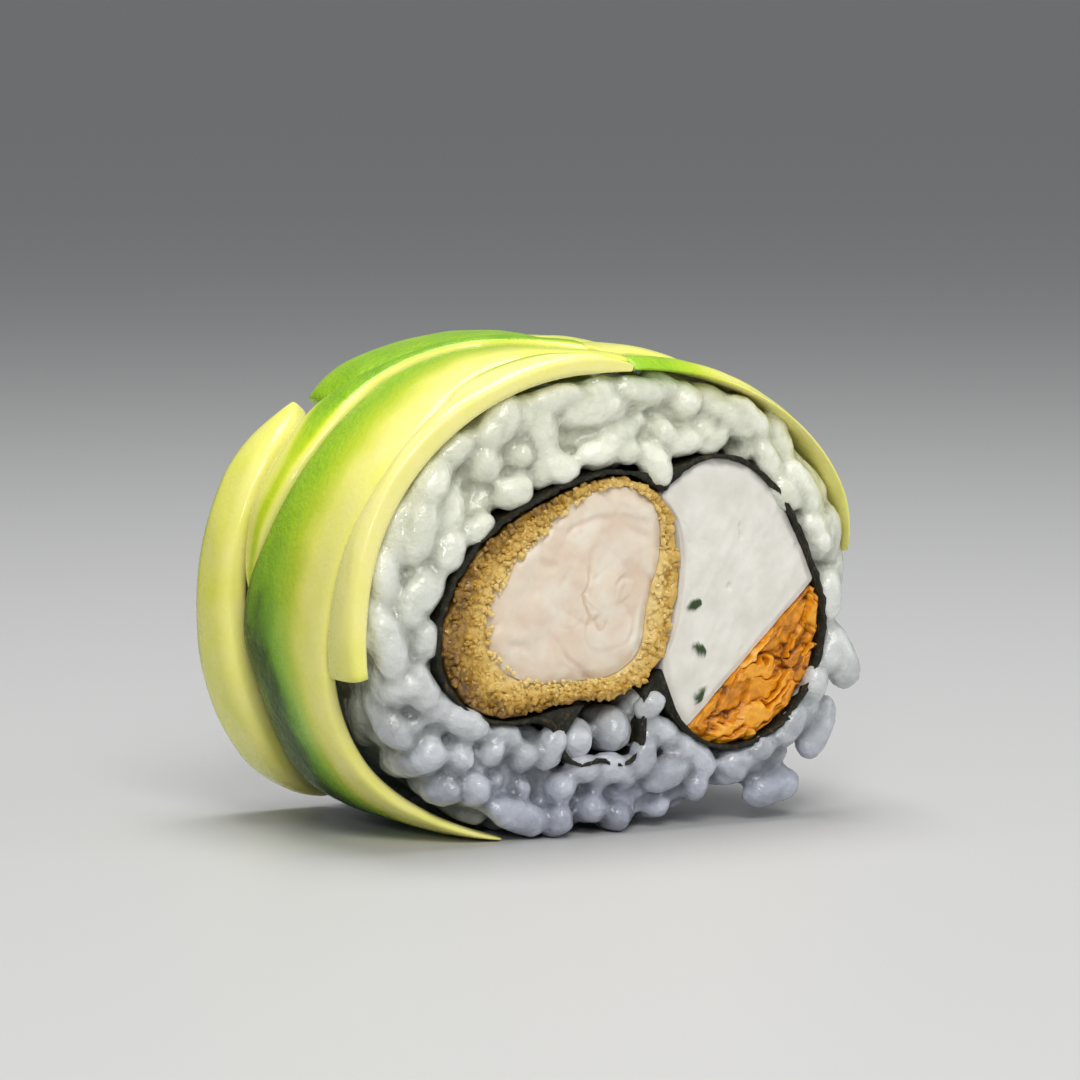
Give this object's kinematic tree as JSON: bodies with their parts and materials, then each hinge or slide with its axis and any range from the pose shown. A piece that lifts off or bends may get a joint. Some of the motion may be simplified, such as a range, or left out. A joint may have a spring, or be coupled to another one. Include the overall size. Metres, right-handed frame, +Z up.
{
  "type": "uramaki roll",
  "caption": "Cut piece of inside-out sushi roll: rice round a nori sheet with a battered prawn, cream cheese and salmon inside, avocado slices laid over it.",
  "frame": {"origin": "on the resting plane, under the middle of the rice ring", "axes": "+Z up, +Y along the roll's axis away from the cut face that shows the filling best, +X to the right of that face"},
  "size_m": [0.0552, 0.031, 0.0435],
  "materials": {
    "rice": "moist, sticky cooked grains",
    "nori": "dark, softened seaweed sheet",
    "batter": "oily golden fried crumb",
    "prawn": "moist cooked white meat",
    "cream_cheese": "smooth, nearly matt",
    "salmon": "moist cooked flakes",
    "avocado": "smooth, oily, with a greener rim"
  },
  "bodies": {
    "root": {"rice": "rice", "inner_rice": "rice", "nori_sheet": "nori", "tempura_batter": "batter", "tempura_prawn": "prawn", "cream_cheese": "cream_cheese", "salmon": "salmon", "avocado_slice_1": "avocado", "avocado_slice_2": "avocado", "avocado_slice_3": "avocado", "avocado_slice_4": "avocado", "avocado_slice_5": "avocado", "avocado_slice_6": "avocado", "avocado_slice_7": "avocado", "avocado_slice_8": "avocado"}
  },
  "joints": []
}
